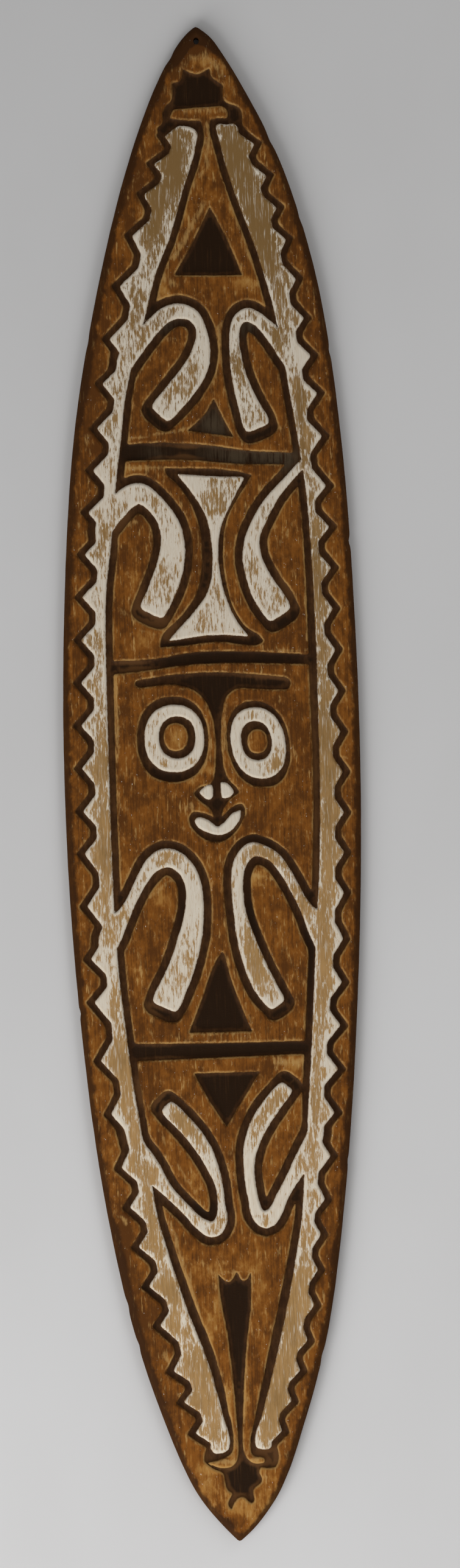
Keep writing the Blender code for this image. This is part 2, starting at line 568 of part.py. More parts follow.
def carved_board():
    # Carves the plan into one solid
    outline = board_outline()
    hole = hanging_hole()
    verts, faces = plan(outline, hole)
    bm = bmesh.new()
    used = sorted({i for face, _ in faces for i in face})
    made = {}
    for i in used:
        p = verts[i]
        made[i] = bm.verts.new((p[0], p[1], crown(p) - rim_fall(p, outline)))
    floors = []
    for face, is_sunk in faces:
        f = bm.faces.new([made[i] for i in face])
        if is_sunk:
            floors.append(f)
    bm.normal_update()
    lowered = bmesh.ops.extrude_face_region(bm, geom=floors)["geom"]
    bmesh.ops.delete(bm, geom=floors, context="FACES")
    for item in lowered:
        if isinstance(item, bmesh.types.BMVert):
            item.co.z -= CARVING_DEPTH
    border = [e for e in bm.edges if e.is_boundary]
    walls = bmesh.ops.extrude_edge_only(bm, edges=border)["geom"]
    wall_verts = [g for g in walls if isinstance(g, bmesh.types.BMVert)]
    for v in wall_verts:
        v.co.z = BACK_CHAMFER
    border = [e for e in walls if isinstance(e, bmesh.types.BMEdge) and e.is_boundary]
    feet = bmesh.ops.extrude_edge_only(bm, edges=border)["geom"]
    foot_verts = [g for g in feet if isinstance(g, bmesh.types.BMVert)]
    shifted = inset(outline, BACK_CHAMFER)
    for v in foot_verts:
        v.co.z = 0.0
        flat = v.co.to_2d()
        near = min(range(len(outline)), key=lambda k: (outline[k] - flat).length)
        if (outline[near] - flat).length < WELD * 4:
            v.co.x, v.co.y = shifted[near]
    border = [e for e in feet if isinstance(e, bmesh.types.BMEdge) and e.is_boundary]
    bmesh.ops.triangle_fill(bm, use_beauty=True, use_dissolve=False, edges=border)
    bmesh.ops.recalc_face_normals(bm, faces=bm.faces[:])
    bmesh.ops.triangulate(bm, faces=[f for f in bm.faces if len(f.verts) > 3])
    mesh = bpy.data.meshes.new("carved_board")
    bm.to_mesh(mesh)
    bm.free()
    return mesh


def wood():
    # Old hardwood, rubbed brown
    material = bpy.data.materials.new("carved_wood")
    material.use_nodes = True
    shader = material.node_tree.nodes["Principled BSDF"]
    shader.inputs["Base Color"].default_value = WOOD_COLOUR
    shader.inputs["Roughness"].default_value = WOOD_ROUGHNESS
    shader.inputs["Metallic"].default_value = 0.0
    return material


def main():
    for obj in list(bpy.data.objects):
        bpy.data.objects.remove(obj, do_unlink=True)
    mesh = carved_board()
    mesh.materials.append(wood())
    board = bpy.data.objects.new("carved_board", mesh)
    bpy.context.scene.collection.objects.link(board)


main()
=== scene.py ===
# Carved spirit board: its fine relief, its worn paint and the light it lies in
import math

import bmesh
import bpy
import numpy as np
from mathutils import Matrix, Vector, geometry, kdtree, noise


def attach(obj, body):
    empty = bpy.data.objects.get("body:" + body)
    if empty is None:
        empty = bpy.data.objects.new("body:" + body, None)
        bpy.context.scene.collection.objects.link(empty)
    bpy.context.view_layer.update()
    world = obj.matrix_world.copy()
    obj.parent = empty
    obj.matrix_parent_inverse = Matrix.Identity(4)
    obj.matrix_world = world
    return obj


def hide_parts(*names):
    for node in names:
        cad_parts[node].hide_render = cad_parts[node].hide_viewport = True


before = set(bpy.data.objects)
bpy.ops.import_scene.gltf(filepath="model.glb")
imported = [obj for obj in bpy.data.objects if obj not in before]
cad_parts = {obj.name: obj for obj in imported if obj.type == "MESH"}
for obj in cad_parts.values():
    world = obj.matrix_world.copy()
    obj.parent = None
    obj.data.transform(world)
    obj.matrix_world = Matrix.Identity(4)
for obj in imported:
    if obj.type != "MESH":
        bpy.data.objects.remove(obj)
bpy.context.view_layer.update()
bpy.ops.object.select_all(action="DESELECT")
print("frame loaded")


# The board's own sizes, in millimetres unless a name says otherwise
board = {
    "halfWidth": 117.2,
    "halfLength": 600.0,
    "middleThickness": 15.85,
    "edgeThickness": 11.35,
    "carvingDepth": 2.6,
    "rimWidth": 6.0,
    "rimDrop": 3.4,
    "rimCurve": 2.1,
    "edgeUnevenness": 0.12,
    # nicks in the edge: side (-1 left, 1 right), place along, depth, half length
    "nicks": [(-1, 575, 0.7, 4.0), (-1, 352, 0.5, 5.0), (-1, -178, 1.0, 3.0), (-1, -410, 0.8, 5.0),
              (-1, -442, 0.7, 4.0), (1, 508, 0.8, 6.0), (1, 446, 0.7, 5.0), (1, 340, 0.8, 4.0),
              (1, 189, 1.1, 3.5), (1, -300, 0.6, 4.0), (1, -454, 0.8, 5.0)],
    # the side and the hole's wall from the top down: share of the height, and how far in or out
    "sideProfile": ((0.78, 0.0), (0.5, 0.05), (0.2, 0.25), (0.07, 1.0), (0.0, 2.5)),
    "sideDent": 0.22,
    "sideWaves": 0.2,
    "holeProfile": ((0.75, 0.0), (0.35, 0.0), (0.06, 0.1), (0.0, 0.5)),
    "holeLip": 0.5,
    "holeLipWidth": 1.6,
    "adzeDepth": 0.45,      # deepest hollow of the back
    "smoothDegrees": 55,    # sharper edges than this stay crisp
}

# How the knife went
knife = {
    "cornerDegrees": 25.0,  # sharper turns than this stay corners
    "softenPasses": 1,      # how far corners are rubbed round
    "wander": 0.46,         # how far the knife strayed from its line
    "holeWander": 0.15,
    "wanderWaves": ((0.11, 3.0, 0.7), (0.37, 9.0, 0.45)),    # pitch, seed and share of each
    "lipAbove": 0.75,       # where the rounded lip of a cut begins
    "wallRun": 1.0,         # how far the wall leans into the cut
    "scoop": 0.22,          # hollowing of the sunk ground, between the two distances from its wall
    "scoopStart": 0.6,
    "scoopEnd": 3.0,
    "floorMarks": 0.16,     # height of the chisel marks in the ground
    "faceMarks": 0.15,      # height of the knife's waves on the face
    "broadMarks": 0.6,      # share of the broader of those waves
}

# Spacing of the skin's points
spacing = {
    "lineStep": 1.55,       # along a cut line
    "edgeStep": 2.3,
    "holeStep": 0.8,
    "fillStep": 3.1,        # on open wood
    "backStep": 6.5,
    "laneSteps": (1.0, 2.1, -0.5, -1.05, -2.0),     # beside a cut: up on the wood, then down in the cut
    "rimLanes": (0.7, 1.6, 2.9, 4.5, 6.4),
    "holeLanes": (0.5, 1.2, 2.2),
    "laneShare": 0.86,      # a lane's points stay this share of its step away from any other line
    "laneGaps": (0.42, 0.8),    # the lanes are thinned in two passes
    "fillGap": 0.6,         # share of the fill step left free round a lane's point
    "clearance": 2.0,       # from a grid point to any line
    "cutClearance": 0.5,
    "backClearance": 2.5,
    "gridShake": 0.35,
    "fineStep": 0.4,        # of a curve before it is spaced evenly
}

# How the solid's faces are told apart: metres, and how upright their normals are
solidReading = {
    "topUpright": 0.4,
    "wallUpright": 0.2,
    "sideFootBelow": 0.005,
    "mostTurns": 60,
}


def rows(points):
    return np.array(points, float).reshape(-1, 2)


def readCadLines(node):
    # Rings of the solid seen from above, in mm, each with the uncut wood on its left
    work = bmesh.new()
    work.from_mesh(node.data)
    bmesh.ops.remove_doubles(work, verts=work.verts[:], dist=1e-6)
    work.normal_update()
    lips = {}
    for edge in work.edges:
        tops = [f for f in edge.link_faces if f.normal.z > solidReading["topUpright"]]
        walls = [f for f in edge.link_faces if abs(f.normal.z) < solidReading["wallUpright"]]
        if len(tops) != 1 or len(walls) != 1:
            continue
        wallFoot = next(v.co.z for v in walls[0].verts if v not in edge.verts)
        if wallFoot > sum(v.co.z for v in edge.verts) / 2:
            continue    # the foot of a wall, not its top
        for corner in tops[0].loops:
            if corner.edge == edge:
                lips[corner] = "side" if wallFoot < solidReading["sideFootBelow"] else "cut"
    rings = {"cut": [], "side": []}
    while lips:
        corner, kind = lips.popitem()
        first, ring = corner, []
        while True:
            ring.append(corner.vert.co.xy * 1000)
            corner = corner.link_loop_next
            for _ in range(solidReading["mostTurns"]):     # round the point to the next lip
                if corner in lips or corner == first:
                    break
                corner = corner.link_loop_radial_next.link_loop_next
            else:
                raise ValueError("a cut line of the solid isn't closed")
            if corner == first:
                break
            lips.pop(corner)
        rings[kind].append(rows(ring))
    work.free()
    return rings


def area(ring):
    ahead = np.roll(ring, -1, 0)
    return 0.5 * np.sum(ring[:, 0] * ahead[:, 1] - ring[:, 1] * ahead[:, 0])


def softRing(ring, step, passes, wander):
    # A ring drawn again as by hand: smooth between its corners, evenly spaced, a little uneven
    ahead = np.roll(ring, -1, 0) - ring
    lengths = np.linalg.norm(ahead, axis=1)
    ahead /= lengths[:, None]
    behind, behindLength = np.roll(ahead, 1, 0), np.roll(lengths, 1)
    turn = np.degrees(np.arccos(np.clip((ahead * behind).sum(1), -1, 1)))
    corner = turn > knife["cornerDegrees"]
    tangent = behind * lengths[:, None] + ahead * behindLength[:, None]
    tangent /= np.linalg.norm(tangent, axis=1)[:, None]
    fine = []
    for i in range(len(ring)):
        j = (i + 1) % len(ring)
        parts = max(2, int(lengths[i] / spacing["fineStep"]))
        t = (np.arange(parts) / parts)[:, None]
        startPull = (ahead[i] if corner[i] else tangent[i]) * lengths[i]
        endPull = (ahead[i] if corner[j] else tangent[j]) * lengths[i]
        fine.append((2 * t ** 3 - 3 * t ** 2 + 1) * ring[i] + (t ** 3 - 2 * t ** 2 + t) * startPull
                    + (3 * t ** 2 - 2 * t ** 3) * ring[j] + (t ** 3 - t ** 2) * endPull)
    line = np.vstack(fine)
    line = np.vstack([line, line[:1]])
    along = np.concatenate([[0], np.cumsum(np.linalg.norm(np.diff(line, axis=0), axis=1))])
    count = max(8, int(round(along[-1] / step)))
    places = np.arange(count) / count * along[-1]
    even = np.stack([np.interp(places, along, line[:, k]) for k in (0, 1)], 1)
    for _ in range(passes):
        even = even * 0.5 + (np.roll(even, 1, 0) + np.roll(even, -1, 0)) * 0.25
    if wander:
        push = [sum(noise.noise(Vector((p[0] * pitch, p[1] * pitch, seed))) * share
                    for pitch, seed, share in knife["wanderWaves"]) for p in even]
        even += leftward(even) * np.array(push)[:, None] * wander
    return even


def leftward(ring):
    along = np.roll(ring, -1, 0) - np.roll(ring, 1, 0)
    along /= np.maximum(np.linalg.norm(along, axis=1), 1e-9)[:, None]
    return np.stack([-along[:, 1], along[:, 0]], 1)


class RingField:
    # How far points are from a set of rings, and whether they are inside an odd number of them
    def __init__(self, rings):
        self.starts = np.vstack(rings)
        self.ends = np.vstack([np.roll(r, -1, 0) for r in rings])
        self.before = np.concatenate([np.roll(np.arange(len(r)), 1) + sum(len(q) for q in rings[:k])
                                      for k, r in enumerate(rings)])
        self.tree = kdtree.KDTree(len(self.starts))
        for i, p in enumerate(self.starts):
            self.tree.insert((p[0], p[1], 0), i)
        self.tree.balance()

    def distance(self, points):
        nearest = np.array([self.tree.find((p[0], p[1], 0))[1] for p in points])
        best = np.full(len(points), 1e9)
        for which in (nearest, self.before[nearest]):
            a, b = self.starts[which], self.ends[which]
            run = b - a
            share = np.clip(((points - a) * run).sum(1) / np.maximum((run ** 2).sum(1), 1e-12), 0, 1)
            best = np.minimum(best, np.linalg.norm(points - a - run * share[:, None], axis=1))
        return best

    def odd(self, points):
        answer = np.zeros(len(points), bool)
        order = np.argsort(points[:, 1])
        low = np.minimum(self.starts[:, 1], self.ends[:, 1])
        high = np.maximum(self.starts[:, 1], self.ends[:, 1])
        for group in np.array_split(order, max(1, len(points) // 500)):
            if not len(group):
                continue
            p = points[group]
            near = (high >= p[:, 1].min()) & (low <= p[:, 1].max())
            a, b = self.starts[near], self.ends[near]
            x, y = p[:, :1], p[:, 1:]
            spans = (a[:, 1] > y) != (b[:, 1] > y)
            rise = np.where(b[:, 1] == a[:, 1], 1e-9, b[:, 1] - a[:, 1])
            crossing = a[:, 0] + (y - a[:, 1]) * (b[:, 0] - a[:, 0]) / rise
            answer[group] = (spans & (crossing > x)).sum(1) % 2 == 1
        return answer

    def signed(self, points, insideIsPlus=True):
        away = self.distance(points)
        return np.where(self.odd(points) == insideIsPlus, away, -away)


def smoothStep(value, low, high):
    t = np.clip((value - low) / (high - low), 0, 1)
    return t * t * (3 - 2 * t)


def waves(points, across, along, seed):
    return np.array([noise.noise(Vector((p[0] / across, p[1] / along, seed))) for p in points])


def crownHeight(points):
    across = 1 - np.minimum(np.abs(points[:, 0]) / board["halfWidth"], 1) ** 2
    along = 1 - np.minimum(np.abs(points[:, 1]) / board["halfLength"], 1) ** 4
    crown = board["middleThickness"] - board["edgeThickness"]
    return board["edgeThickness"] + crown * across * along


def spreadOut(points, gap, kept=None):
    # Leaves out points that crowd one another
    cells = {}
    answer = []
    for p in (kept if kept is not None else []):
        cells.setdefault((int(p[0] // gap), int(p[1] // gap)), []).append(p)
    for p in points:
        cx, cy = int(p[0] // gap), int(p[1] // gap)
        crowd = (q for i in (-1, 0, 1) for j in (-1, 0, 1) for q in cells.get((cx + i, cy + j), ()))
        if all((p[0] - q[0]) ** 2 + (p[1] - q[1]) ** 2 > gap * gap for q in crowd):
            answer.append(p)
            cells.setdefault((cx, cy), []).append(p)
    return rows(answer)


def hexGrid(step):
    xs = np.arange(-board["halfWidth"], board["halfWidth"], step)
    ys = np.arange(-board["halfLength"], board["halfLength"], step * 0.866)     # rows of even triangles
    grid = np.array([(x + (k % 2) * step / 2, y) for k, y in enumerate(ys) for x in xs])
    shake = np.stack([waves(grid, 1.7, 1.7, 2.0), waves(grid, 1.7, 1.7, 5.0)], 1)
    return grid + shake * step * spacing["gridShake"]


def triangles(rings, loose):
    # Triangles of the plane that keep every ring as edges
    points = np.vstack(rings + [loose])
    edges = []
    first = 0
    for ring in rings:
        edges += [(first + k, first + (k + 1) % len(ring)) for k in range(len(ring))]
        first += len(ring)
    flat = [Vector(p) for p in points]
    found, _, faces, origins, *_ = geometry.delaunay_2d_cdt(flat, edges, [], 0, 1e-5)
    return rows(found), np.array([f for f in faces if len(f) == 3])


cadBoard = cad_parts["carved_board"]
cadRings = readCadLines(cadBoard)
sideRings = sorted(cadRings["side"], key=lambda r: -abs(area(r)))
midLine = float(sideRings[0][np.argmax(sideRings[0][:, 1]), 0])     # the tips' line, beside the middle
outline = softRing(sideRings[0], spacing["edgeStep"], 1, 0)
wornIn = board["edgeUnevenness"] * (1 + waves(outline, 14, 14, 1.0))
for side, along, depth, halfNick in board["nicks"]:
    onSide = np.sign(outline[:, 0] - midLine) == side
    wornIn += onSide * depth * np.exp(-((outline[:, 1] - along) / halfNick) ** 2)
outline += leftward(outline) * wornIn[:, None]
holeRing = softRing(sideRings[1], spacing["holeStep"], 1, knife["holeWander"])
cutRings = [softRing(ring, spacing["lineStep"], knife["softenPasses"], knife["wander"])
            for ring in cadRings["cut"]]
print("lines read:", len(cutRings), "cuts,", sum(len(r) for r in cutRings), "points")

# Where the white figures are: a point in each, and the solid's rings that bound them
whiteSeeds = {
    "leftBand": (-90, 0), "rightBand": (85, 0), "hourglass": (0, 235), "leftEyeRing": (-52, 36),
    "rightEyeRing": (15, 33), "leftNostril": (-8, -7), "rightNostril": (6, -5), "teeth": (0, -37),
}


def ringAround(point, rings):
    # The smallest ring that holds a point
    holding = [r for r in rings if RingField([r]).odd(rows([point]))[0]]
    return min(holding, key=lambda r: abs(area(r)))


whiteRings = []
for name, seed in whiteSeeds.items():
    ring = ringAround((seed[0] + midLine, seed[1]), cutRings)
    whiteRings.append(ring)
    if "EyeRing" in name:
        inner = [r for r in cutRings if r is not ring and RingField([ring]).odd(r[:1])[0]]
        whiteRings.append(max(inner, key=lambda r: abs(area(r))))
print("white figures:", [round(abs(area(r))) for r in whiteRings])

cutField = RingField(cutRings)
whiteField = RingField(whiteRings)
edgeField = RingField([outline])
holeField = RingField([holeRing])

# Loose points: lanes beside every cut, lanes inside the rim, and a loose grid over the rest
lanes = []
for step in spacing["laneSteps"]:
    for ring in cutRings:
        moved = ring + leftward(ring) * step
        lanes.append(moved[cutField.distance(moved) > abs(step) * spacing["laneShare"]])
for step in spacing["rimLanes"]:
    moved = outline + leftward(outline) * step
    clear = edgeField.distance(moved) > step * spacing["laneShare"]
    clear &= cutField.distance(moved) > spacing["cutClearance"]
    lanes.append(moved[clear])
for step in spacing["holeLanes"]:
    lanes.append(holeRing + leftward(holeRing) * step)
lanes = np.vstack(lanes)
for gap in spacing["laneGaps"]:
    lanes = spreadOut(lanes, gap)
grid = hexGrid(spacing["fillStep"])
grid = grid[edgeField.odd(grid)]
nearest = np.min([field.distance(grid) for field in (cutField, edgeField, holeField)], axis=0)
clear = nearest > spacing["clearance"]
loose = np.vstack([lanes, spreadOut(grid[clear], spacing["fillStep"] * spacing["fillGap"], kept=lanes)])
print("points on the face:", len(loose))

facePoints, faceTriangles = triangles([outline, holeRing] + cutRings, loose)
middles = facePoints[faceTriangles].mean(1)
keep = edgeField.odd(middles) & ~holeField.odd(middles)
faceTriangles = faceTriangles[keep]
print("face triangles:", len(faceTriangles))

lineGap = cutField.signed(facePoints, insideIsPlus=False)
paintGap = whiteField.signed(facePoints)
rimGap = edgeField.distance(facePoints)
holeGap = holeField.distance(facePoints)
cutShare = 1 - smoothStep(lineGap, -knife["wallRun"], knife["lipAbove"])
floorShare = smoothStep(-lineGap, knife["scoopStart"], knife["scoopEnd"])
rimShare = np.clip(1 - rimGap / board["rimWidth"], 0, 1)
height = crownHeight(facePoints) - board["rimDrop"] * rimShare ** board["rimCurve"]
height -= board["carvingDepth"] * cutShare + knife["scoop"] * floorShare
height += waves(facePoints, 3.2, 7.5, 4.0) * knife["floorMarks"] * cutShare
faceWaves = waves(facePoints, 9, 26, 7.0) + knife["broadMarks"] * waves(facePoints, 30, 60, 8.0)
height += faceWaves * knife["faceMarks"] * (1 - cutShare)
height -= board["holeLip"] * (1 - smoothStep(holeGap, 0, board["holeLipWidth"]))


class Skin:
    # The board's surface as it is put together: points in mm and triangles
    def __init__(self):
        self.points = []
        self.faces = []
        self.total = 0

    def add(self, points, faces=()):
        first = self.total
        self.points.append(points)
        self.total += len(points)
        self.faces += [tuple(int(i) + first for i in f) for f in faces]
        return np.arange(first, self.total)

    def bridge(self, one, two):
        # Quads between two rings of the same number of points
        count = len(one)
        for k in range(count):
            n = (k + 1) % count
            self.faces.append((int(one[k]), int(two[k]), int(two[n]), int(one[n])))


skin = Skin()
used = np.unique(faceTriangles)
renumber = np.full(len(facePoints), -1)
renumber[used] = np.arange(len(used))
topPoints = np.column_stack([facePoints[used], height[used]])
topRows = skin.add(topPoints, renumber[faceTriangles])


def rowsOf(ring):
    # The rows of the face's points that lie on a ring, in its order
    finder = kdtree.KDTree(len(used))
    for i, p in enumerate(facePoints[used]):
        finder.insert((p[0], p[1], 0), i)
    finder.balance()
    return np.array([finder.find((p[0], p[1], 0))[1] for p in ring])


outlineRow = topRows[rowsOf(outline)]
holeRow = topRows[rowsOf(holeRing)]

# The side: from the worn rim straight down, then under to the flat back
inward = leftward(outline)
edgeHeight = height[used][rowsOf(outline)]
sideWave = waves(outline, 20, 34, 11.0)
previous = outlineRow
for share, under in board["sideProfile"]:
    isDented = under > 0 and share > 0
    dent = (board["sideDent"] + board["sideWaves"] * sideWave) * isDented
    ring = outline + inward * (under + dent)[:, None]
    new = skin.add(np.column_stack([ring, edgeHeight * share]))
    skin.bridge(previous, new)
    previous = new
backOutline, backOutlineRow = ring, previous

# The wall of the hole
previous = holeRow
holeHeight = height[used][rowsOf(holeRing)]
for share, grow in board["holeProfile"]:
    ring = holeRing + leftward(holeRing) * grow
    new = skin.add(np.column_stack([ring, holeHeight * share]))
    skin.bridge(previous, new)
    previous = new
backHole, backHoleRow = ring, previous

# The back: flat, with the shallow hollows that an adze leaves
backGrid = hexGrid(spacing["backStep"])
backEdge, backHoleField = RingField([backOutline]), RingField([backHole])
inBack = backEdge.odd(backGrid) & ~backHoleField.odd(backGrid)
inBack &= backEdge.distance(backGrid) > spacing["backClearance"]
inBack &= backHoleField.distance(backGrid) > spacing["clearance"]
backPoints, backTriangles = triangles([backOutline, backHole], backGrid[inBack])
middles = backPoints[backTriangles].mean(1)
backTriangles = backTriangles[backEdge.odd(middles) & ~backHoleField.odd(middles)]
hollow = np.clip(0.15 + 0.5 * waves(backPoints, 16, 42, 21.0), 0, 1)
hollow *= smoothStep(np.minimum(backEdge.distance(backPoints), backHoleField.distance(backPoints)), 0.5, 7)
backUsed = np.unique(backTriangles)
backNumber = np.full(len(backPoints), -1)
backNumber[backUsed] = np.arange(len(backUsed))
skin.add(np.column_stack([backPoints[backUsed], hollow[backUsed] * board["adzeDepth"]]),
         backNumber[backTriangles][:, ::-1])

boardMesh = bpy.data.meshes.new("dressedBoard")
boardMesh.from_pydata((np.vstack(skin.points) / 1000).tolist(), [], skin.faces)
dressedBoard = bpy.data.objects.new("dressedBoard", boardMesh)
bpy.context.scene.collection.objects.link(dressedBoard)
bpy.ops.object.select_all(action="DESELECT")
dressedBoard.select_set(True)
bpy.context.view_layer.objects.active = dressedBoard
bpy.ops.object.mode_set(mode="EDIT")
bpy.ops.mesh.select_all(action="SELECT")
bpy.ops.mesh.remove_doubles(threshold=1e-6)     # the back meets the side here
bpy.ops.mesh.select_all(action="DESELECT")
bpy.ops.object.mode_set(mode="OBJECT")
bpy.ops.object.shade_smooth_by_angle(angle=math.radians(board["smoothDegrees"]))
triangleCount = sum(len(p.vertices) - 2 for p in boardMesh.polygons)
print("board built:", len(boardMesh.vertices), "points,", triangleCount, "triangles")

